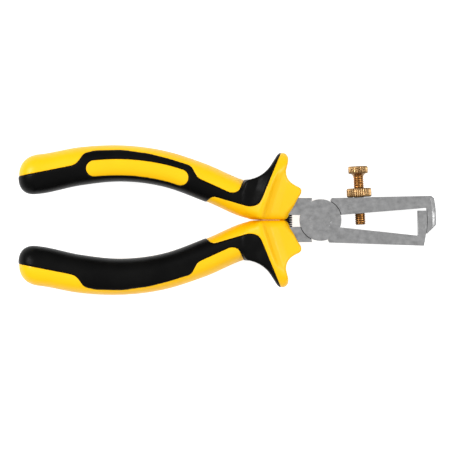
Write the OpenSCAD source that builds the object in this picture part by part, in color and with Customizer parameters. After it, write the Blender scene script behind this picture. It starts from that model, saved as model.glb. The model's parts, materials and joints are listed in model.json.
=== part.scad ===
// Adjustable wire stripper, end type, 160 mm.
// Two lapped forgings on one rivet, spring opened, with a brass stop screw and lock nut
// and two-component grips. The jaws are shut on each other in the drawn position.
// X runs towards the jaws, Y from handle to handle, Z along the rivet.
// Parts are drawn about the rivet's centre, then raised so that the origin is on the
// rivet axis at the back face of the lap joint.

/* [Head] */
// Radius of each half-lap disc
disc_r = 7.95; // [7:0.05:9]
// Thickness of the head at the rivet
head_t = 9.2; // [8:0.1:11]
// Thickness of the jaws at the tip
tip_t = 8; // [7:0.1:9]
// Gap between the two laps
lap_gap = 0.16; // [0.1:0.02:0.3]
// Radius of the rivet shank
rivet_r = 3; // [2.4:0.1:3.4]
// Radius of the flush rivet heads
rivet_head_r = 4; // [3.6:0.1:4.6]
// Clearance of the rivet in the front half, which turns on it
rivet_gap = 0.02; // [0.02:0.01:0.1]

/* [Jaws] */
// Distance from the rivet to the outer face of the outer blade
reach = 44.2; // [42:0.1:46]
// Thickness of each blade along the wire
blade_t = 3.3; // [2.8:0.1:3.8]
// Sliding gap between the two blades
blade_gap = 0.25; // [0.2:0.01:0.4]
// Width of the bevels along the outer face of the outer blade
bevel_w = 1.4; // [0.6:0.1:2]
// Included angle of the wire notches
notch_angle = 74; // [60:1:80]
// Width across flats of the wire hole with the jaws shut
wire_hole = 0.6; // [0:0.1:1]

/* [Adjusting screw] */
// Nominal thread diameter
thread_d = 4; // [4:0.1:4.2]
// Thread pitch
thread_pitch = 0.7; // [0.7:0.05:0.8]
// Lean of the screw towards the handles
screw_lean = 2.6; // [2:0.1:3]
// Diameter of the knurled screw head
knob_d = 7.5; // [7:0.1:9]
// Height of the knurled screw head
knob_h = 2.9; // [2.4:0.1:3.4]
// Diameter of the lock nut
nut_d = 9.5; // [9:0.1:10.4]
// Height of the lock nut
nut_h = 3.5; // [3:0.1:3.8]

/* [Spring] */
// Outside diameter of the return spring
spring_d = 5; // [4.6:0.1:5.2]
// Wire diameter of the return spring
spring_wire = 0.6; // [0.5:0.05:0.65]
// Length of the return spring with the jaws shut
spring_len = 11.6; // [11:0.1:12]

/* [Grips] */
// Thickness of the soft cover over the hard core
cover_t = 1.6; // [1.2:0.1:2]
// Half of the grip depth at mid handle
grip_depth = 8.2; // [7.6:0.1:8.8]
// Half of the depth at the ridge of the thumb guard
guard_depth = 10.6; // [10:0.1:11.4]
// Half of the depth where the nose meets the shank
nose_depth = 5.9; // [5.6:0.1:7]
// Width of the oval panel
panel_w = 6.2; // [5:0.1:7]
// Distance of the oval panel from the middle of the handle
panel_drop = 1.7; // [1:0.1:2]
// Gap between the two grip noses with the jaws shut
nose_gap = 0.2; // [0.16:0.02:0.5]

/* [Hidden] */
$fn = 96;
blade_in_r = reach - blade_t;
blade_out_r = blade_in_r - blade_gap;
shoulder_r = disc_r + 0.28;
screw_x = 14.9;
screw_y = 8.72;
spring_x = -13.2;
front_shank_y = 1.9;
back_shank_y = 2.55;
notch_y = -0.9;

steel = [0.62, 0.62, 0.64];
brass = [0.72, 0.56, 0.36];
yellow = [0.98, 0.77, 0.08];
black = [0.09, 0.09, 0.09];

// ---------- shared curves ----------

// Smooth curve value through four neighbouring values, t from 0 to 1 between b and c
function spline(a, b, c, d, t) =
    b + 0.5 * t * (c - a + t * (2 * a - 5 * b + 4 * c - d + t * (3 * (b - c) + d - a)));

// Row of the smooth curve through a list of rows, u from 0 to len - 1
function along(rows, u) =
    let (n = len(rows), i = min(floor(u), n - 2))
    spline(rows[max(i - 1, 0)], rows[i], rows[i + 1], rows[min(i + 2, n - 1)], u - i);

// Points of an arc about the rivet
function arc(r, from, to, n = 12) =
    [for (i = [0:n]) let (a = from + (to - from) * i / n) [r * cos(a), r * sin(a)]];

// Closed skin over a list of rings that all hold the same number of points
module skin(rings) {
    n = len(rings[0]);
    last = len(rings) - 1;
    polyhedron(
        points = [for (ring = rings) each ring],
        faces = [
            [for (j = [0:n - 1]) n - 1 - j],
            for (i = [0:last - 1], j = [0:n - 1]) let (k = (j + 1) % n)
                each [[i * n + j, i * n + k, (i + 1) * n + k],
                      [i * n + j, (i + 1) * n + k, (i + 1) * n + j]],
            [for (j = [0:n - 1]) last * n + j]
        ],
        convexity = 6
    );
}

// ---------- steel halves ----------

// Shank and tang of the upper handle, from the lap to the tail inside the grip
module shank_outline(inner) {
    polygon([
        [-3.3, 8.43], [-14, 8.5], [-30, 12.2], [-54, 20.8], [-82, 24], [-84, 22.2], [-82, 20.4],
        [-54, 15.8], [-30, 5.6], [-19, inner + 0.2], [-7.6, inner], [-4, inner]
    ]);
}

// Long arm over the lap with the outer blade, both blades lying on arcs about the rivet
module upper_jaw_outline() {
    polygon(concat(
        [[3.9, 7.6], [4.4, 8.43], [reach - 2, 9.28]],
        arc(reach, 11, -2.4),
        arc(blade_in_r, -7.7, 6.5),
        [[8.2, 2], [6, 2]]
    ));
}

// Long arm under the lap with the inner blade, which ends just under the upper arm
module lower_jaw_outline() {
    blade_x = blade_out_r - blade_t;
    polygon(concat(
        [[7.5, -2.8], [blade_x, -5.95], [blade_x, 3.64]],
        arc(blade_out_r, 5.14, -14),
        [[3.4, -8.62], [2.9, -7.6], [3, -2.8]]
    ));
}

// Side profile that thins the tangs and the jaws away from the rivet
module thickness_profile() {
    rotate([90, 0, 0])
        linear_extrude(80, center = true)
            polygon([
                [-86, -2], [-40, -2.6], [-20, -head_t / 2], [12, -head_t / 2], [46, -tip_t / 2],
                [46, tip_t / 2], [12, head_t / 2], [-20, head_t / 2], [-40, 2.6], [-86, 2]
            ]);
}

// Room inside the ground bevels along the outer face of the outer blade
module blade_bevels() {
    half = tip_t / 2 + 0.06;
    rotate_extrude()
        polygon([
            [0, -10], [reach - bevel_w, -10], [reach - bevel_w, -half], [reach, -half + 0.6],
            [reach, half - 0.6], [reach - bevel_w, half], [reach - bevel_w, 10], [0, 10]
        ]);
}

// Wire notch: a V through a blade, deepest at notch_y and opening along side
module notch(side) {
    half = 6 * tan(notch_angle / 2);
    tip = notch_y + side * (-wire_hole / 2);
    translate([36, 0, 0])
        rotate([90, 0, 90])
            linear_extrude(10)
                polygon([[tip, 0], [tip + side * 6, half], [tip + side * 6, -half]]);
}

// Blind seat for one end of the return spring
module spring_seat() {
    translate([spring_x, 0, 0])
        rotate([-90, 0, 0])
            cylinder(h = spring_len / 2 + 0.05, r = spring_d / 2 + 0.2);
}

// Room for the opposite disc behind the lap plane
module lap_relief() {
    translate([0, 0, -head_t])
        cylinder(h = head_t + lap_gap / 2, r = shoulder_r);
}

// Rivet with a countersunk head at each end, grown by gap; its ends stand proud by proud
module rivet_shape(gap = 0, proud = 0) {
    half = head_t / 2;
    r = rivet_r + gap;
    head_r = rivet_head_r + gap;
    rotate_extrude()
        polygon([
            [0, -half - proud], [head_r, -half - proud], [head_r, -half], [r, -half + 1.2],
            [r, half - 1.2], [head_r, half], [head_r, half + proud], [0, half + proud]
        ]);
}

module front_half() {
    color(steel)
        difference() {
            intersection() {
                union() {
                    cylinder(h = 20, r = disc_r, center = true);
                    linear_extrude(20, center = true) shank_outline(front_shank_y);
                    linear_extrude(20, center = true) lower_jaw_outline();
                }
                thickness_profile();
            }
            lap_relief();
            rivet_shape(rivet_gap, 1);
            spring_seat();
            notch(1);
        }
}

module back_half() {
    color(steel)
        difference() {
            intersection() {
                union() {
                    cylinder(h = 20, r = disc_r, center = true);
                    linear_extrude(20, center = true) mirror([0, 1]) shank_outline(back_shank_y);
                    intersection() {
                        linear_extrude(20, center = true) upper_jaw_outline();
                        blade_bevels();
                    }
                }
                thickness_profile();
            }
            rotate([180, 0, 0]) {
                lap_relief();
                rivet_shape(0, 1);
                spring_seat();
            }
            notch(-1);
            on_screw_axis() {
                translate([0, 0, -9]) cylinder(h = 14, r = thread_d / 2);
                translate([0, 0, -0.1]) cylinder(h = 4, r = nut_d / 2 + 0.5);
            }
        }
}

module rivet() {
    color(steel) rivet_shape();
}

// Closed-coil compression spring between the shanks
module spring() {
    turns = floor(spring_len / (spring_wire + 0.16));
    seg = 14;
    rise = spring_len - spring_wire;
    r = (spring_d - spring_wire) / 2;
    color([0.16, 0.16, 0.17])
        translate([spring_x, -rise / 2, 0])
            rotate([-90, 0, 0])
                skin([
                    for (i = [0:turns * seg])
                        let (a = 360 * i / seg, h = rise * i / (turns * seg))
                        [for (k = [0:5]) let (q = 60 * k, m = r + spring_wire / 2 * cos(q))
                            [m * cos(a), m * sin(a), h + spring_wire / 2 * sin(q)]]
                ]);
}

// ---------- adjusting screw ----------

// Places children on the screw axis, Z up the screw, zero at the nut seat
module on_screw_axis() {
    translate([screw_x, screw_y, 0])
        rotate([-90, 0, screw_lean])
            children();
}

// Threaded stud: crests stand as ring ridges at the thread pitch
module screw_stud() {
    root = thread_d / 2 - 0.43;
    crest = thread_d / 2 - 0.05;
    low = -10.5;
    rings = 26;
    color(brass)
        on_screw_axis()
            rotate_extrude()
                polygon(concat(
                    [[0, low], [root, low]],
                    [for (i = [0:rings - 1], p = [[root, 0.1], [crest, 0.28], [crest, 0.42], [root, 0.6]])
                        [p[0], low + (i + p[1]) * thread_pitch]],
                    [[root, 8.2], [0, 8.2]]
                ));
}

// Straight knurl: a ring of small teeth round a disc
module knurled_disc(d, h, teeth) {
    linear_extrude(h)
        polygon([for (i = [0:2 * teeth - 1])
            let (a = 180 * i / teeth, r = d / 2 - (i % 2) * 0.28)
            [r * cos(a), r * sin(a)]]);
}

module screw_head() {
    color(brass)
        on_screw_axis() {
            translate([0, 0, 8.22]) cylinder(h = 0.86, r1 = thread_d / 2 + 0.3, r2 = knob_d / 2 - 0.7);
            translate([0, 0, 9.08]) knurled_disc(knob_d, knob_h, 36);
        }
}

module lock_nut() {
    color(brass)
        on_screw_axis()
            difference() {
                translate([0, 0, 0.02]) knurled_disc(nut_d, nut_h, 40);
                translate([0, 0, -1]) cylinder(h = nut_h + 2, r = thread_d / 2);
            }
}

// ---------- grips, drawn for the upper handle ----------

// Stations along the handle: [x, middle y, half width, half depth]
function handle_rows() = [
    [-108, 17.7, 7.5, grip_depth - 0.6], [-92, 20.7, 7.25, grip_depth - 0.2],
    [-76, 21.8, 6.85, grip_depth], [-60, 19.8, 6.85, grip_depth],
    [-44, 14.4, 7.2, grip_depth + 0.2], [-28, 7.8, 7.1, grip_depth + 0.9],
    [-21, 6.8, 6.3, grip_depth + 1.1]
];

// Rounded-square ring across the handle, pulled in by inset and scaled by k
function handle_ring(row, inset, k, n = 20) =
    [for (j = [0:n - 1])
        let (a = -360 * j / n, c = cos(a), s = sin(a), e = 2 / 2.4)
        [row[0],
         row[1] + (row[2] - inset) * k * sign(c) * pow(abs(c), e),
         (row[3] - inset) * k * sign(s) * pow(abs(s), e)]];

// Swept handle with a domed tail
module handle(inset = 0) {
    rows = handle_rows();
    steps = 24;
    dome = 7.7 - inset;
    tail = along(rows, 0);
    skin(concat(
        [for (i = [4:-1:1]) let (u = sin(90 * i / 4.2))
            handle_ring(tail - [dome * u, 1.1 * u, 0, 0], inset, pow(1 - pow(u, 2.5), 0.4))],
        [for (i = [0:steps]) handle_ring(along(rows, 6 * i / steps), inset, 1)]
    ));
}

// Side view of the thumb guard and the nose that grips the shank
module guard_outline(inset = 0) {
    offset(delta = -inset)
        offset(r = 0.9, $fn = 16) offset(delta = -0.9)
            polygon([
                [-13, nose_gap / 2], [-8.4, 8.8], [-7.4, 10], [-7.3, 12.2], [-10, 13.3],
                [-12.4, 15.2], [-13.4, 18], [-12.9, 20.4], [-12.2, 22.6], [-12.5, 24.9],
                [-14.3, 26.3], [-15.9, 25.7], [-17.5, 23], [-19.6, 19.7], [-22, 17.4],
                [-24.8, 15.9], [-29, 14.8],
                [-29, 2.8], [-22.4, nose_gap / 2]
            ]);
}

// Depth of the guard: a ridge that slopes to the shank in front and dips behind
module guard_depth_profile(inset = 0) {
    d = guard_depth - inset;
    translate([-19.3, 13.2, 0])
        rotate([90, 0, -17.7])
            linear_extrude(60, center = true)
                polygon([
                    [-16, -d + 1.6], [-5, -d + 1.8], [-1.8, -d + 0.3], [0, -d], [0.6, -d + 0.4],
                    [3.4, -d + 2.9], [10.5, -nose_depth + inset / 2],
                    [16, -nose_depth + 0.3 + inset / 2], [16, nose_depth - 0.3 - inset / 2],
                    [10.5, nose_depth - inset / 2], [3.4, d - 2.9],
                    [0.6, d - 0.4], [0, d], [-1.8, d - 0.3], [-5, d - 1.8], [-16, d - 1.6]
                ]);
}

module guard(inset = 0) {
    intersection() {
        linear_extrude(40, center = true) guard_outline(inset);
        guard_depth_profile(inset);
        translate([-20, 8, 0])
            rotate([0, 90, 0])
                scale([(guard_depth + 0.4 - inset) / 18.6, (18.6 - inset) / 18.6, 1])
                    cylinder(h = 60, r = 18.6, center = true, $fn = 48);
    }
}

module grip_shape(inset = 0) {
    handle(inset);
    guard(inset);
}

// Part of the grip that the soft cover wraps, seen from the side
module cover_outline() {
    offset(r = 0.5, $fn = 12) offset(delta = -0.5)
        polygon([
            [-118, 16.3], [-94.6, 20.9], [-92.9, 21.9], [-90.4, 25.6], [-86, 26.7],
            [-76, 26.9], [-65.3, 25.4], [-57.6, 23.4], [-49.4, 20.8], [-46.9, 16.1],
            [-34.2, 10.3], [-31.4, 10.9], [-28.8, 16.6], [-20, 22], [-14.6, 27.4],
            [-15.5, 24.9], [-22.8, 7.2], [-24.2, 5.6], [-27.5, 5], [-41.2, 9],
            [-43.6, 7.2], [-46, 2], [-118, 2]
        ]);
}

// Slim oval that follows the middle of the handle, a little to the palm side
module panel_outline() {
    rows = handle_rows();
    mid = [for (i = [0:8]) let (p = along(rows, 1.35 + 2.05 * i / 8)) [p[0], p[1] - panel_drop]];
    for (i = [0:7])
        hull() {
            translate(mid[i]) circle(panel_w / 2, $fn = 16);
            translate(mid[i + 1]) circle(panel_w / 2, $fn = 16);
        }
}

// Pocket for the tang, and the mouth through which the spring passes
module tang_pocket() {
    intersection() {
        linear_extrude(20, center = true) shank_outline(front_shank_y);
        thickness_profile();
    }
    translate([spring_x, 0, 0])
        rotate([-90, 0, 0])
            cylinder(h = 4, r = spring_d / 2 + 0.5, $fn = 48);
}

module grip_core() {
    color(yellow)
        resize([0, 0, 0])
            difference() {
                union() {
                    grip_shape(cover_t);
                    difference() {
                        grip_shape();
                        linear_extrude(40, center = true) cover_outline();
                    }
                }
                tang_pocket();
            }
}

module grip_cover() {
    color(black)
        resize([0, 0, 0])
            difference() {
                intersection() {
                    grip_shape();
                    linear_extrude(40, center = true) cover_outline();
                }
                grip_shape(cover_t);
                linear_extrude(20) panel_outline();
            }
}

module grip_panel() {
    color(yellow)
        resize([0, 0, 0])
            difference() {
                intersection() {
                    grip_shape();
                    linear_extrude(20) panel_outline();
                }
                grip_shape(cover_t);
            }
}

module upper_core() { grip_core(); }
module upper_cover() { grip_cover(); }
module upper_panel() { grip_panel(); }
module lower_core() { rotate([180, 0, 0]) grip_core(); }
module lower_cover() { rotate([180, 0, 0]) grip_cover(); }
module lower_panel() { rotate([180, 0, 0]) grip_panel(); }

// Raises a part from the rivet centre to the frame's origin
module place() {
    translate([0, 0, head_t / 2]) children();
}

place() front_half();
place() back_half();
place() rivet();
place() spring();
place() screw_stud();
place() screw_head();
place() lock_nut();
place() upper_core();
place() upper_cover();
place() upper_panel();
place() lower_core();
place() lower_cover();
place() lower_panel();
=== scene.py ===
import json
import math

import bpy
import numpy as np
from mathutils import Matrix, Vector


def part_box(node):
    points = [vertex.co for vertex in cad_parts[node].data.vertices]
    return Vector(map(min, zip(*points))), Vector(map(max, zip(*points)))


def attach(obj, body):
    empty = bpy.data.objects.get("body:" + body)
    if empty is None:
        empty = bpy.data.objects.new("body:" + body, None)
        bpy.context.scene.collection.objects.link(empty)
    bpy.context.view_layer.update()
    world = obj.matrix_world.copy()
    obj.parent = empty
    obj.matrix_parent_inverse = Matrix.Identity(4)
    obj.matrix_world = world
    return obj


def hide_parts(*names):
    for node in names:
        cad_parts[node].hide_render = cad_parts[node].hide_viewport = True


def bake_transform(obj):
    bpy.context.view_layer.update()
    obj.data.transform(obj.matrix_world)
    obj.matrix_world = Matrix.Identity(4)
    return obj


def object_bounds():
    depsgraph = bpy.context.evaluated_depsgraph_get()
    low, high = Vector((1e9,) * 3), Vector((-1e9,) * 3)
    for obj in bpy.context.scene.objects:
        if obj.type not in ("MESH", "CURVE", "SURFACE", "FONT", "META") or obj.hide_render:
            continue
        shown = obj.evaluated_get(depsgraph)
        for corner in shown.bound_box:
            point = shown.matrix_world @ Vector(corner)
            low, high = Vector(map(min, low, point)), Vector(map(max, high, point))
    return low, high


MM = 0.001

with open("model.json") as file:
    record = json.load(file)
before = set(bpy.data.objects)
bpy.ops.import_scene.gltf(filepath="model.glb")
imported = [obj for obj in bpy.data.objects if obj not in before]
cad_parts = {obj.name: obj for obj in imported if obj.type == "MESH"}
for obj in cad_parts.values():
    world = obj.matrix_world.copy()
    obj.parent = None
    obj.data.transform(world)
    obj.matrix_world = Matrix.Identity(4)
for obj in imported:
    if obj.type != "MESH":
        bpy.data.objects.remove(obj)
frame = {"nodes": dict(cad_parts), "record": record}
CAD_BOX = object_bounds()
NODES = frame["nodes"]
JOINTS = {j["name"]: j for j in frame["record"]["behaviour"]["joints"]}


def middle(node):
    """The centre of a CAD node's box at rest, in millimetres."""
    low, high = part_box(node)
    return (np.array(low) + np.array(high)) / 2 / MM


PLANE_Z = middle("front_half")[2]


def add_object(name, data):
    obj = bpy.data.objects.new(name, data)
    bpy.context.scene.collection.objects.link(obj)
    return obj


# ---------- materials ----------

class Shade:
    """A node material on a Principled shader, with short calls for the nodes it uses."""

    def __init__(self, name, color, metallic=0.0, roughness=0.5, **fixed):
        self.mat = bpy.data.materials.new(name)
        self.mat.use_nodes = True
        self.tree = self.mat.node_tree
        self.bsdf = self.tree.nodes["Principled BSDF"]
        self.bsdf.inputs["Base Color"].default_value = (*color, 1)
        self.bsdf.inputs["Metallic"].default_value = metallic
        self.bsdf.inputs["Roughness"].default_value = roughness
        for key, value in fixed.items():
            self.bsdf.inputs[key.replace("_", " ")].default_value = value
        self.coord = self.tree.nodes.new("ShaderNodeTexCoord").outputs["Object"]

    def node(self, kind, **inputs):
        n = self.tree.nodes.new(kind)
        for key, value in inputs.items():
            n.inputs[key.replace("_", " ")].default_value = value
        return n

    def link(self, a, b):
        self.tree.links.new(a, b)

    def stretched(self, scale):
        """Object coordinates stretched by scale, for a grain that runs one way."""
        m = self.node("ShaderNodeMapping")
        m.inputs["Scale"].default_value = scale
        self.link(self.coord, m.inputs["Vector"])
        return m.outputs["Vector"]

    def noise(self, scale, detail=3.0, roughness=0.55, vector=None):
        n = self.node("ShaderNodeTexNoise", Scale=scale, Detail=detail, Roughness=roughness)
        self.link(vector or self.coord, n.inputs["Vector"])
        return n.outputs["Fac"]

    def ramp(self, value, low, high, to_low, to_high):
        m = self.node("ShaderNodeMapRange", From_Min=low, From_Max=high, To_Min=to_low, To_Max=to_high)
        self.link(value, m.inputs["Value"])
        return m.outputs["Result"]

    def tint(self, value, first, second):
        """Base colour between two colours by a value from 0 to 1."""
        m = self.tree.nodes.new("ShaderNodeMix")
        m.data_type = "RGBA"
        self.link(value, m.inputs["Factor"])
        m.inputs["A"].default_value = (*first, 1)
        m.inputs["B"].default_value = (*second, 1)
        self.link(m.outputs["Result"], self.bsdf.inputs["Base Color"])
        return m

    def rough(self, value):
        self.link(value, self.bsdf.inputs["Roughness"])

    def bump(self, value, distance, strength=1.0, after=None):
        b = self.node("ShaderNodeBump", Strength=strength, Distance=distance)
        self.link(value, b.inputs["Height"])
        if after:
            self.link(after, b.inputs["Normal"])
        self.link(b.outputs["Normal"], self.bsdf.inputs["Normal"])
        return b.outputs["Normal"]


def steel_material():
    """Ground forged steel: satin, with a fine grain along the jaws and faint handling marks."""
    s = Shade("steel", (0.30, 0.30, 0.31), metallic=1.0, roughness=0.4)
    grain = s.noise(900, 4, 0.6, s.stretched((0.35, 1.6, 1.0)))
    cloud = s.noise(420, 5, 0.65)
    s.tint(s.ramp(cloud, 0.3, 0.7, 0, 1), (0.22, 0.22, 0.222), (0.34, 0.34, 0.342))
    s.rough(s.ramp(grain, 0.3, 0.7, 0.34, 0.52))
    fine = s.bump(grain, 0.00004, 0.6)
    s.bump(s.noise(2600, 2), 0.00002, 0.5, fine)
    return s.mat


def spring_material():
    s = Shade("black_wire", (0.02, 0.02, 0.022), metallic=0.8, roughness=0.42)
    wear = s.noise(500, 3)
    s.tint(s.ramp(wear, 0.45, 0.75, 0, 1), (0.012, 0.012, 0.014), (0.05, 0.05, 0.055))
    s.rough(s.ramp(wear, 0.3, 0.7, 0.36, 0.55))
    s.bump(s.noise(3000, 2), 0.00001)
    return s.mat


def brass_material(name, dark, light):
    """Turned brass that has started to dull: lathe marks across, tarnish in clouds."""
    s = Shade(name, light, metallic=1.0, roughness=0.34)
    tarnish = s.noise(320, 4)
    marks = s.noise(1500, 3, 0.6, s.stretched((0.3, 3.0, 0.3)))
    s.tint(s.ramp(tarnish, 0.35, 0.7, 0, 1), light, dark)
    s.rough(s.ramp(marks, 0.3, 0.7, 0.26, 0.46))
    s.bump(marks, 0.00003, 0.7)
    return s.mat


def yellow_material():
    """Hard moulded plastic: smooth, with a very fine orange peel and slight flow shading."""
    s = Shade("yellow_plastic", (0.84, 0.44, 0.0), roughness=0.38, Specular_IOR_Level=0.22)
    flow = s.noise(45, 2)
    s.tint(s.ramp(flow, 0.3, 0.7, 0, 1), (0.86, 0.46, 0.0), (0.90, 0.51, 0.001))
    s.rough(s.ramp(s.noise(700, 3), 0.3, 0.7, 0.32, 0.44))
    s.bump(s.noise(1400, 2), 0.00002, 0.5)
    return s.mat


def black_material():
    """Soft moulded cover: matt, with a fine spark-eroded texture and faint dust in its low spots."""
    s = Shade("black_rubber", (0.002, 0.002, 0.002), roughness=0.4, Specular_IOR_Level=0.06)
    pits = s.noise(2200, 3, 0.6)
    dust = s.noise(90, 4)
    s.tint(s.ramp(dust, 0.4, 0.75, 0, 1), (0.0015, 0.0015, 0.0015), (0.0035, 0.0035, 0.0033))
    s.rough(s.ramp(pits, 0.3, 0.7, 0.3, 0.46))
    s.bump(pits, 0.00004, 0.7)
    return s.mat


def floor_material():
    s = Shade("pale_floor", (0.4, 0.4, 0.4), roughness=0.9, Emission_Strength=0.86)
    s.bsdf.inputs["Emission Color"].default_value = (1, 1, 1, 1)
    s.tint(s.noise(12, 2), (0.39, 0.39, 0.39), (0.41, 0.41, 0.41))
    return s.mat


STEEL = steel_material()
WIRE = spring_material()
BRASS = brass_material("brass", (0.26, 0.16, 0.075), (0.50, 0.33, 0.16))
THREAD_BRASS = brass_material("thread_brass", (0.30, 0.13, 0.035), (0.55, 0.27, 0.08))
# Painted shade: a dark brass for the floors of thread and knurl grooves, standing in for their shade.
GROOVE_SHADE_BRASS = brass_material("painted_groove_shade", (0.09, 0.045, 0.016), (0.19, 0.10, 0.035))
YELLOW = yellow_material()
BLACK = black_material()


# ---------- mesh building ----------

def add_mesh(name, points_mm, faces, material, smooth=True):
    """A mesh object from points in millimetres about the rivet's centre."""
    mesh = bpy.data.meshes.new(name)
    points = (np.asarray(points_mm, float) + [0, 0, PLANE_Z]) * MM
    mesh.from_pydata(points.tolist(), [], [list(map(int, f)) for f in faces])
    mesh.materials.append(material)
    mesh.polygons.foreach_set("use_smooth", [smooth] * len(mesh.polygons))
    mesh.update()
    return add_object(name, mesh)


def grid_faces(rows, cols):
    """Quads of a grid that closes on itself around, with an n-gon at each end."""
    faces = [
        (i * cols + j, i * cols + (j + 1) % cols, (i + 1) * cols + (j + 1) % cols, (i + 1) * cols + j)
        for i in range(rows - 1)
        for j in range(cols)
    ]
    return [tuple(range(cols))[::-1], *faces, tuple((rows - 1) * cols + j for j in range(cols))]


def smooth_max(a, b, k):
    h = np.clip(0.5 + 0.5 * (a - b) / k, 0, 1)
    return b + (a - b) * h + k * h * (1 - h)


def smooth_min(a, b, k):
    return -smooth_max(-a, -b, k)


def spline(rows, u):
    """Rows of a smooth curve through the given rows, at parameters u."""
    rows = np.asarray(rows, float)
    i = np.clip(np.floor(u).astype(int), 0, len(rows) - 2)
    t = (u - i)[:, None]
    a, b = rows[np.maximum(i - 1, 0)], rows[i]
    c, d = rows[i + 1], rows[np.minimum(i + 2, len(rows) - 1)]
    return b + 0.5 * t * (c - a + t * (2 * a - 5 * b + 4 * c - d + t * (3 * (b - c) + d - a)))


def segment_square(p, a, b):
    """Squared distance from points to the straight piece between a and b."""
    edge, w = b - a, p - a
    t = np.clip((w @ edge) / (edge @ edge), 0, 1)
    return ((w - t[:, None] * edge) ** 2).sum(1)


def polygon_distance(p, corners):
    """Signed distance from points to a closed outline, negative inside."""
    corners = np.asarray(corners, float)
    best = np.full(len(p), 1e9)
    inside = np.zeros(len(p), bool)
    for a, b in zip(corners, np.roll(corners, -1, axis=0)):
        edge = b - a
        best = np.minimum(best, segment_square(p, a, b))
        crosses = (a[1] > p[:, 1]) != (b[1] > p[:, 1])
        if a[1] != b[1]:
            inside ^= crosses & (p[:, 0] < a[0] + (p[:, 1] - a[1]) * edge[0] / edge[1])
    return np.sqrt(best) * np.where(inside, -1, 1)


# ---------- grips, shaped for the upper handle in millimetres about the rivet ----------

# Handle stations: x, middle y, half width, half depth
HANDLE = [
    [-108, 17.7, 7.5, 7.6], [-92, 20.7, 7.25, 8.0], [-76, 21.8, 6.84, 8.2], [-60, 19.8, 6.85, 8.2],
    [-44, 14.4, 7.2, 8.4], [-28, 7.8, 7.1, 9.1], [-21, 6.8, 6.3, 9.3],
]
HANDLE_POWER = 2.4  # roundness of the section: 2 is an ellipse
TAIL_X, TAIL_LENGTH, TAIL_DROP = -108, 7.45, 1.1
CAP_X, CAP_LENGTH = -23.5, 3.2
GUARD = [
    [-13, 0.03], [-8.4, 8.8], [-7.4, 10], [-7.3, 12.2], [-10, 13.3], [-12.4, 15.2], [-13.4, 18],
    [-12.9, 20.4], [-12.2, 22.6], [-12.5, 24.9], [-14.3, 26.3], [-15.9, 25.7], [-17.5, 23],
    [-19.6, 19.7], [-22, 17.4], [-24.8, 15.9], [-29, 14.8], [-29, 2.8], [-22.4, 0.03],
]
RIDGE = np.array([-19.3, 13.2])
RIDGE_TURN = math.radians(-17.7)
# Half depth of the guard against the distance in front of its ridge
RIDGE_DEPTH = [
    [-16, 8.9], [-5, 8.7], [-1.9, 9.7], [-0.7, 10.25], [0.1, 10.25], [0.6, 9.9], [1.6, 8.7],
    [3.4, 7.6], [6, 6.8], [10.5, 5.9], [16, 5.6],
]
DOME_Y, DOME_HALF_Y, DOME_HALF_Z, DOME_SCALE = 8, 18.4, 10.9, 12
GUARD_BLEND, DOME_BLEND, GRIP_BLEND = (3.2, 0.9), 1.2, 1.4
COVER = [
    [-118, 16.3], [-94.6, 20.9], [-92.9, 21.9], [-90.4, 25.6], [-86, 26.7], [-76, 26.9], [-65.3, 25.4],
    [-57.6, 23.4], [-49.4, 20.8], [-46.9, 16.1], [-34.2, 10.3], [-31.4, 10.9], [-28.8, 16.6],
    [-20, 22], [-14.6, 27.4], [-15.5, 24.9], [-22.8, 7.2], [-24.2, 5.6], [-27.5, 5], [-41.2, 9],
    [-43.6, 7.2], [-46, 2], [-118, 2],
]
# The oval runs between two places along the handle's stations.
PANEL_DROP, PANEL_HALF_WIDTH = 1.7, 3.1
PANEL_START, PANEL_SPAN, PANEL_STEPS = 1.35, 2.05, 16
SKIN = 1.4
LIP, LIP_WIDTH, LIP_GROOVE = 0.22, 0.7, 0.12
EDGE_DROP, EDGE_WIDTH = 0.08, 0.25
OVERLAP = 0.3


def rounded(corners, cut, rounds=2):
    """An outline with each corner cut back by up to cut millimetres, then the new corners by less."""
    pts = np.asarray(corners, float)
    for k in range(rounds):
        after = np.roll(pts, -1, axis=0)
        length = np.linalg.norm(after - pts, axis=1)[:, None]
        share = np.minimum(cut / 2**k / length, 0.28)
        pts = np.stack([pts + (after - pts) * share, after - (after - pts) * share], 1).reshape(-1, 2)
    return pts


GUARD_LINE = rounded(GUARD, 0.8)
COVER_LINE = rounded(COVER, 0.7)


def handle_field(p):
    u = np.interp(p[:, 0], [r[0] for r in HANDLE], range(len(HANDLE)))
    row = spline(HANDLE, u)
    tail = np.clip((TAIL_X - p[:, 0]) / TAIL_LENGTH, 0, None)
    shift = np.where(p[:, 0] < TAIL_X, TAIL_DROP * np.clip(tail, 0, 1.2), 0)
    e = HANDLE_POWER
    y = np.abs(p[:, 1] - row[:, 1] + shift) / row[:, 2]
    z = np.abs(p[:, 2]) / row[:, 3]
    front = np.clip((p[:, 0] - CAP_X) / CAP_LENGTH, 0, None)
    radial = (y**e + z**e + tail**e + front**e) ** (1 / e)
    return (radial - 1) * np.minimum(row[:, 2], row[:, 3])


def guard_field(p):
    side = polygon_distance(p[:, :2], GUARD_LINE)
    flat = p[:, :2] - RIDGE
    across = flat[:, 0] * math.cos(RIDGE_TURN) + flat[:, 1] * math.sin(RIDGE_TURN)
    depth = np.interp(across, [r[0] for r in RIDGE_DEPTH], [r[1] for r in RIDGE_DEPTH])
    face = np.abs(p[:, 2]) - depth
    dome = (np.sqrt(((p[:, 1] - DOME_Y) / DOME_HALF_Y) ** 2 + (p[:, 2] / DOME_HALF_Z) ** 2) - 1) * DOME_SCALE
    # The edges turn under more softly between the two noses.
    edge = np.interp(p[:, 1], [2, 6], GUARD_BLEND)
    return smooth_max(smooth_max(side, face, edge), dome, DOME_BLEND)


def grip_field(p):
    return smooth_min(handle_field(p), guard_field(p), GRIP_BLEND)


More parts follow.
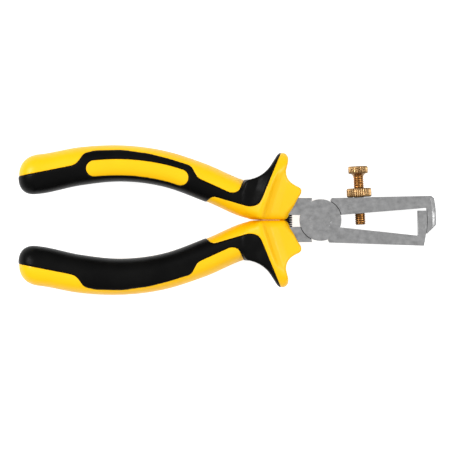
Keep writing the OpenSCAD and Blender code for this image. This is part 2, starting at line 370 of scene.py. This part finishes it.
def field_gradient(field, p, h=0.05):
    g = np.empty_like(p)
    for k in range(3):
        step = np.zeros(3)
        step[k] = h
        g[:, k] = (field(p + step) - field(p - step)) / (2 * h)
    return g


def settle(field, p, rounds=4):
    """Points moved onto the zero surface of a field along its gradient."""
    for _ in range(rounds):
        g = field_gradient(field, p)
        move = (field(p) / np.maximum((g**2).sum(1), 0.05))[:, None] * g
        p = p - np.clip(move, -0.6, 0.6)
    return p


def surface_net(field, low, high, cell):
    """Quads over the zero surface of a field, one corner in each grid cell that it crosses."""
    axes = [np.arange(a, b + cell, cell) for a, b in zip(low, high)]
    shape = tuple(len(a) for a in axes)
    grid = np.stack(np.meshgrid(*axes, indexing="ij"), -1).reshape(-1, 3)
    value = field(grid).reshape(shape)
    total = np.zeros([n - 1 for n in shape] + [3])
    count = np.zeros([n - 1 for n in shape])
    pos = grid.reshape(shape + (3,))
    crossings = []
    for axis in range(3):
        a = [slice(None)] * 3
        b = [slice(None)] * 3
        a[axis], b[axis] = slice(0, -1), slice(1, None)
        va, vb = value[tuple(a)], value[tuple(b)]
        hit = (va < 0) != (vb < 0)
        t = np.where(hit, va / np.where(hit, va - vb, 1), 0)[..., None]
        where = pos[tuple(a)] * (1 - t) + pos[tuple(b)] * t
        index = np.argwhere(hit)
        crossings.append((axis, index, va[hit] < 0))
        others = [k for k in range(3) if k != axis]
        for du in (0, 1):
            for dv in (0, 1):
                cellid = index.copy()
                cellid[:, others[0]] -= du
                cellid[:, others[1]] -= dv
                ok = (cellid >= 0).all(1) & (cellid < np.array(count.shape)).all(1)
                c, e = cellid[ok], index[ok]
                np.add.at(total, tuple(c.T), where[tuple(e.T)])
                np.add.at(count, tuple(c.T), 1)
    used = count > 0
    number = np.full(count.shape, -1)
    number[used] = np.arange(used.sum())
    points = total[used] / count[used][:, None]
    quads = []
    for axis, index, outward in crossings:
        u, v = [(1, 2), (2, 0), (0, 1)][axis]
        ring = []
        for du, dv in ((0, 0), (1, 0), (1, 1), (0, 1)):
            c = index.copy()
            c[:, u] -= du
            c[:, v] -= dv
            ring.append(number[tuple(c.T)])
        quad = np.stack(ring, 1)
        quads.append(np.where(outward[:, None], quad, quad[:, ::-1]))
    return points, np.concatenate(quads)


def edges_of(tris):
    return np.concatenate([tris[:, [0, 1]], tris[:, [1, 2]], tris[:, [2, 0]]])


def relax(points, tris, field, rounds):
    """Evens out a mesh along its surface, then settles it back on the field."""
    edges = edges_of(tris)
    for _ in range(rounds):
        total, count = np.zeros_like(points), np.zeros(len(points))
        np.add.at(total, edges[:, 0], points[edges[:, 1]])
        np.add.at(count, edges[:, 0], 1)
        points = settle(field, points + 0.5 * (total / count[:, None] - points), 2)
    return points


def split_tris(points, tris, value, level):
    """Cuts triangles along a level of a value held at the points, so that no triangle crosses it."""
    s = value - level
    s = np.where(np.abs(s) < 1e-5, 0, s)
    sign = np.sign(s)
    t_sign = sign[tris]
    crossed = (t_sign.max(1) > 0) & (t_sign.min(1) < 0)
    keep, cut = tris[~crossed], tris[crossed]
    edges = edges_of(cut)
    edges = np.sort(edges[sign[edges[:, 0]] * sign[edges[:, 1]] < 0], axis=1)
    edges = np.unique(edges, axis=0)
    a, b = edges.T
    t = (s[a] / (s[a] - s[b]))[:, None]
    new = points[a] * (1 - t) + points[b] * t
    ids = {(i, j): len(points) + k for k, (i, j) in enumerate(map(tuple, edges))}
    out = []
    for tri in cut:
        ring = []
        for k in range(3):
            i, j = int(tri[k]), int(tri[(k + 1) % 3])
            ring.append((i, sign[i]))
            if sign[i] * sign[j] < 0:
                ring.append((ids[min(i, j), max(i, j)], 0))
        for side in (1, -1):
            part = [i for i, g in ring if g * side >= 0]
            out.extend((part[0], part[k], part[k + 1]) for k in range(1, len(part) - 1))
    return np.concatenate([points, new]), np.concatenate([keep, np.array(out)])


def cover_distance(p):
    """Distance inside the soft cover's edge, less than zero on the yellow."""
    return -polygon_distance(p[:, :2], COVER_LINE)


def panel_distance(p):
    """Distance inside the slim oval on the front of the handle."""
    along = PANEL_START + PANEL_SPAN * np.arange(PANEL_STEPS + 1) / PANEL_STEPS
    mid = spline(HANDLE, along)[:, :2] - [0, PANEL_DROP]
    best = np.sqrt(np.min([segment_square(p[:, :2], a, b) for a, b in zip(mid[:-1], mid[1:])], axis=0))
    return np.where(p[:, 2] > 0, PANEL_HALF_WIDTH - best, -np.minimum(best, 5) - 1)


def black_distance(p):
    return np.minimum(cover_distance(p), -panel_distance(p))


def nudge_to(points, field, distance, level, reach):
    """Moves points that lie close to a level of distance onto it, along the surface."""
    s = distance(points) - level
    near = np.abs(s) < reach
    q = points[near]
    g = field_gradient(distance, q, 0.02)
    g[:, 2] = 0
    size = np.maximum((g**2).sum(1), 0.2)[:, None]
    moved = points.copy()
    moved[near] = settle(field, q - s[near][:, None] * g / size, 2)
    return moved


def make_grip_skin():
    """The whole outer skin, cut along the colour edges and along levels of the distance into the black:
    points and triangles.
    """
    cell = 0.6
    low, high = np.array([-117.0, -1.0, -12.0]), np.array([-6.0, 30.0, 12.0])
    points, quads = surface_net(grip_field, low, high, cell)
    tris = np.concatenate([quads[:, [0, 1, 2]], quads[:, [0, 2, 3]]])
    points = relax(settle(grip_field, points), tris, grip_field, 3)
    for level in (0.0, 0.25, 0.7, -0.25):
        points = nudge_to(points, grip_field, black_distance, level, 0.1)
        points, tris = split_tris(points, tris, black_distance(points), level)
    return settle(grip_field, points, 2), tris


def boundary_edges(tris):
    """Directed edges that only one triangle of the list has."""
    edges = list(map(tuple, edges_of(tris)))
    seen = set(edges)
    return [e for e in edges if (e[1], e[0]) not in seen]


def closed_patch(points, tris, outer, inner):
    """A closed shell: the patch moved to outer, its copy at inner, and a wall along the patch's edge."""
    used, back = np.unique(tris, return_inverse=True)
    tris = back.reshape(tris.shape)
    n = len(used)
    walls = []
    for a, b in boundary_edges(tris):
        walls += [(b, a, a + n), (b, a + n, b + n)]
    faces = np.concatenate([tris, tris[:, ::-1] + n, np.array(walls)])
    return np.concatenate([outer[used], inner[used]]), faces


def make_grip(prefix, body, turn):
    """Core, cover and oval panel of one grip; turn is 1 as drawn, -1 for the half turn about X."""
    points, tris = GRIP_SKIN
    black = black_distance(points)
    normal = field_gradient(grip_field, points)
    normal /= np.linalg.norm(normal, axis=1)[:, None]
    flip = np.array([1, turn, turn])
    mid = points[tris].mean(1)
    t_black = black_distance(mid) > 0
    t_panel = panel_distance(mid) > 0

    rise = LIP * np.clip(black / LIP_WIDTH, 0, 1) ** 0.5 - LIP_GROOVE * (black < 0.02)
    cover = closed_patch(
        points, tris[t_black], points + normal * rise[:, None], points - normal * (SKIN - OVERLAP)
    )
    edge_drop = EDGE_DROP * np.clip(1 + black / EDGE_WIDTH, 0, 1)
    panel = closed_patch(
        points, tris[t_panel], points - normal * edge_drop[:, None], points - normal * (SKIN - OVERLAP)
    )
    sunk = np.where((black > 0.1) | (panel_distance(points) > -0.1), SKIN, edge_drop)
    core = (points - normal * sunk[:, None], tris)
    for name, (where, faces), mat in (
        ("core", core, YELLOW), ("cover", cover, BLACK), ("panel", panel, YELLOW),
    ):
        obj = add_mesh(f"{prefix}_{name}_skin", where * flip, faces, mat)
        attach(obj, body)
        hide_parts(f"{prefix}_{name}")


# ---------- spring ----------

def make_spring():
    """Close-coiled compression spring that stretches between the two shanks."""
    low, high = (np.array(v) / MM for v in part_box("spring"))
    centre, top = (low + high) / 2, (high - low)[1] / 2
    wire = 0.46
    radius = (high - low)[0] / 2 - wire / 2
    turns, per_turn, sides = 15, 28, 10
    rise = 2 * top - 2 * wire
    count = turns * per_turn
    points = []
    for i in range(count + 1):
        a = 2 * math.pi * i / per_turn
        # The pitch runs a little wider at the ends and closer in the middle, by a sine over the length.
        t = i / count
        y = -rise / 2 + rise * (t + 0.012 * math.sin(2 * math.pi * t))
        for k in range(sides):
            q = 2 * math.pi * k / sides
            r = radius + wire / 2 * math.cos(q)
            points.append((centre[0] + r * math.cos(a), y + wire / 2 * math.sin(q), r * math.sin(a)))
    obj = add_mesh("return_spring_coil", points, grid_faces(count + 1, sides), WIRE)
    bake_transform(obj)
    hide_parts("spring")


# ---------- adjusting screw and lock nut ----------

SCREW_UP = Vector(JOINTS["screw_travel"]["axis"]).normalized()
SCREW_SIDE = Vector((SCREW_UP.y, -SCREW_UP.x, 0))
SCREW_SEAT = np.array([14.9, 8.72, 0.0])
PITCH = 0.7
STEPS_PER_PITCH = 10
THREAD_ROOT, THREAD_DEPTH, NECK_RADIUS = 1.7, 0.28, 2.02
HEAD_TEETH, HEAD_GROOVE = 34, 0.28
NUT_TEETH, NUT_GROOVE = 32, 0.34
SIDES_PER_TOOTH = 8


def screw_points(r, a, s):
    """Points at radius r, angle a and height s on the screw axis, in millimetres."""
    side, up = np.array(SCREW_SIDE), np.array(SCREW_UP)
    depth = np.array([0, 0, 1.0])
    return (
        SCREW_SEAT + r[..., None] * (np.cos(a)[..., None] * side + np.sin(a)[..., None] * depth)
        + s[..., None] * up
    )


def lathe(name, radius, heights, sides, material):
    """A turned piece: radius(height, angle, row) over heights and angles, closed at both ends."""
    a = np.linspace(0, 2 * math.pi, sides, endpoint=False)
    s, a = np.meshgrid(np.asarray(heights, float), a, indexing="ij")
    r = radius(s, a, np.arange(len(heights))[:, None])
    points = screw_points(r, -a, s).reshape(-1, 3)
    obj = add_mesh(name, points, grid_faces(len(heights), sides), material)
    # Painted shade: the floors of thread and knurl grooves get a darker brass that stands in for the shade
    # down in the grooves.
    obj.data.materials.append(GROOVE_SHADE_BRASS)
    pair = r + np.roll(r, -1, axis=1)
    mid = pair[:-1] + pair[1:]
    high, low = mid.max(1, keepdims=True), mid.min(1, keepdims=True)
    groove = (mid < low + 0.35 * (high - low)) & (high - low > 0.4)
    obj.data.polygons.foreach_set("material_index", [0, *groove.ravel().astype(int).tolist(), 0])
    return obj


def make_stud():
    """The threaded stud, a true helix that fades into a plain neck below the knob."""
    low, high = -10.5, 8.2

    def radius(s, a, i):
        turn = (s / PITCH + a / (2 * math.pi)) % 1.0
        tooth = np.clip(2.4 * (1 - np.abs(2 * turn - 1)) - 0.3, 0, 1)
        thread = THREAD_ROOT + THREAD_DEPTH * tooth * np.clip((s - low) / 0.5, 0.35, 1)
        neck = np.clip((high - s) / 0.8, 0, 1)
        return NECK_RADIUS + (thread - NECK_RADIUS) * neck

    heights = np.arange(low, high + 0.01, PITCH / STEPS_PER_PITCH)
    obj = lathe("stop_screw_thread", radius, heights, 44, THREAD_BRASS)
    flat_ends(obj)
    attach(obj, "stud")
    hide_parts("screw_stud")


def flat_ends(obj):
    """Flat shading and a crisp rim on the two end faces of a turned piece."""
    for p in obj.data.polygons:
        if len(p.vertices) > 4:
            p.use_smooth = False
    sharp = obj.data.attributes.new("sharp_edge", "BOOLEAN", "EDGE")
    rims = {
        tuple(sorted(k)) for p in obj.data.polygons if len(p.vertices) > 4 for k in p.edge_keys
    }
    for e in obj.data.edges:
        sharp.data[e.index].value = tuple(sorted(e.vertices)) in rims


def knurl_profile(outline, teeth, depth):
    """Radius of a knurled disc: straight grooves that die out where the outline's weight is 0."""
    outline = np.asarray(outline, float)

    def radius(s, a, i):
        base, weight = outline[i, 1], outline[i, 2]
        groove = 0.5 - 0.5 * np.cos(a * teeth)
        return base - depth * weight * groove**0.9

    return radius, outline[:, 0]


def make_knob():
    """The knurled knob and its conical neck. Outline rows: height, radius, weight of the knurl."""
    outline = [
        (8.22, 2.02, 0), (8.3, 2.14, 0), (9.0, 2.75, 0), (9.06, 3.1, 0), (9.08, 3.42, 0.3),
        (9.3, 3.74, 1), (9.9, 3.75, 1), (10.9, 3.75, 1), (11.5, 3.75, 1), (11.78, 3.6, 0.7),
        (11.93, 3.3, 0), (11.97, 2.6, 0), (11.98, 1.4, 0), (11.98, 0.4, 0),
    ]
    radius, heights = knurl_profile(outline, HEAD_TEETH, HEAD_GROOVE)
    obj = lathe("stop_screw_knob", radius, heights, HEAD_TEETH * SIDES_PER_TOOTH, BRASS)
    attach(obj, "knob")
    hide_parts("screw_head")


def make_nut():
    """The knurled lock nut, with the same kind of outline rows as the knob."""
    outline = [
        (0.05, 1.99, 0), (0.05, 3.2, 0), (0.06, 4.2, 0), (0.14, 4.42, 0.2), (0.42, 4.74, 1),
        (0.9, 4.75, 1), (1.8, 4.75, 1), (2.8, 4.75, 1), (3.15, 4.72, 1), (3.42, 4.42, 0.2),
        (3.5, 4.2, 0), (3.52, 3.2, 0), (3.52, 2.3, 0), (3.3, 1.99, 0),
    ]
    radius, heights = knurl_profile(outline, NUT_TEETH, NUT_GROOVE)
    sides = NUT_TEETH * SIDES_PER_TOOTH
    obj = lathe("lock_nut_knurled", radius, heights, sides, BRASS)
    bore_through(obj, len(heights), sides)
    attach(obj, "nut")
    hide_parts("lock_nut")


def bore_through(obj, rows, cols):
    """Swaps a turned piece's end caps for the wall of its bore."""
    quads = [p for p in obj.data.polygons if len(p.vertices) == 4]
    faces = [tuple(p.vertices) for p in quads]
    slots = [p.material_index for p in quads] + [0] * cols
    last = (rows - 1) * cols
    faces += [(last + j, last + (j + 1) % cols, (j + 1) % cols, j) for j in range(cols)]
    points = [tuple(v.co) for v in obj.data.vertices]
    obj.data.clear_geometry()
    obj.data.from_pydata(points, [], faces)
    obj.data.polygons.foreach_set("use_smooth", [True] * len(faces))
    obj.data.polygons.foreach_set("material_index", slots)
    obj.data.update()


# ---------- steel ----------

def dress_steel(node, width):
    """Carries a CAD node over with a ground-steel finish and broken edges."""
    obj = NODES[node]
    obj.data.materials.clear()
    obj.data.materials.append(STEEL)
    weld = obj.modifiers.new("weld", "WELD")
    weld.merge_threshold = 1e-6
    bevel = obj.modifiers.new("bevel", "BEVEL")
    bevel.width = width * MM
    bevel.segments = 2
    bevel.limit_method = "ANGLE"
    bevel.angle_limit = math.radians(35)
    bevel.harden_normals = True


# ---------- stage ----------

def make_floor():
    low = CAD_BOX[0][2] - 0.0002
    size = 3.0
    mesh = bpy.data.meshes.new("floor")
    mesh.from_pydata(
        [(-size, -size, low), (size, -size, low), (size, size, low), (-size, size, low)], [], [(0, 1, 2, 3)]
    )
    mesh.materials.append(floor_material())
    floor = add_object("floor", mesh)


def area_light(name, place, size, power, target=(-0.036, 0, 0)):
    data = bpy.data.lights.new(name, "AREA")
    data.shape = "DISK"
    data.size = size
    data.energy = power
    light = add_object(name, data)
    light.location = place
    light.rotation_euler = (Vector(target) - Vector(place)).to_track_quat("-Z", "Y").to_euler()


def make_lights():
    world = bpy.data.worlds.new("studio")
    world.use_nodes = True
    tree = world.node_tree
    coord = tree.nodes.new("ShaderNodeTexCoord")
    axes = tree.nodes.new("ShaderNodeSeparateXYZ")
    rise = tree.nodes.new("ShaderNodeMapRange")
    rise.inputs["From Min"].default_value = 0.15
    rise.inputs["To Min"].default_value = 0.25
    rise.inputs["To Max"].default_value = 0.85
    tree.links.new(coord.outputs["Generated"], axes.inputs["Vector"])
    tree.links.new(axes.outputs["Z"], rise.inputs["Value"])
    tree.links.new(rise.outputs["Result"], tree.nodes["Background"].inputs["Strength"])
    tree.nodes["Background"].inputs["Color"].default_value = (1, 1, 1, 1)
    bpy.context.scene.world = world
    area_light("key", (-0.75, 0.25, 0.8), 0.4, 8.5)
    area_light("fill", (0.5, -0.5, 0.8), 0.9, 1.5)
    area_light("rim", (1.0, 0.1, 0.95), 0.3, 7.0, target=(0.04, 0, 0))


def make_camera():
    """Straight above, long lens, turned so that the jaws point right as in the picture."""
    width, distance = 0.17244, 1.5
    shift_x, shift_y = -0.0008, -0.0019
    data = bpy.data.cameras.new("camera")
    data.sensor_width = 36
    data.lens = 36 * (distance - PLANE_Z * MM) / width
    data.clip_end = 20
    camera = add_object("camera", data)
    low, high = CAD_BOX
    camera.location = ((low[0] + high[0]) / 2 + shift_x, (low[1] + high[1]) / 2 + shift_y, distance)
    bpy.context.scene.camera = camera


make_camera()
make_lights()
make_floor()
bpy.context.scene.view_settings.view_transform = "Standard"

GRIP_SKIN = make_grip_skin()
for grip, holder, half_turn in (("upper", "front", 1), ("lower", "back", -1)):
    make_grip(grip, holder, half_turn)
make_spring()
make_stud()
make_knob()
make_nut()
for steel_node, edge_width in (("front_half", 0.18), ("back_half", 0.18), ("rivet", 0.02)):
    dress_steel(steel_node, edge_width)
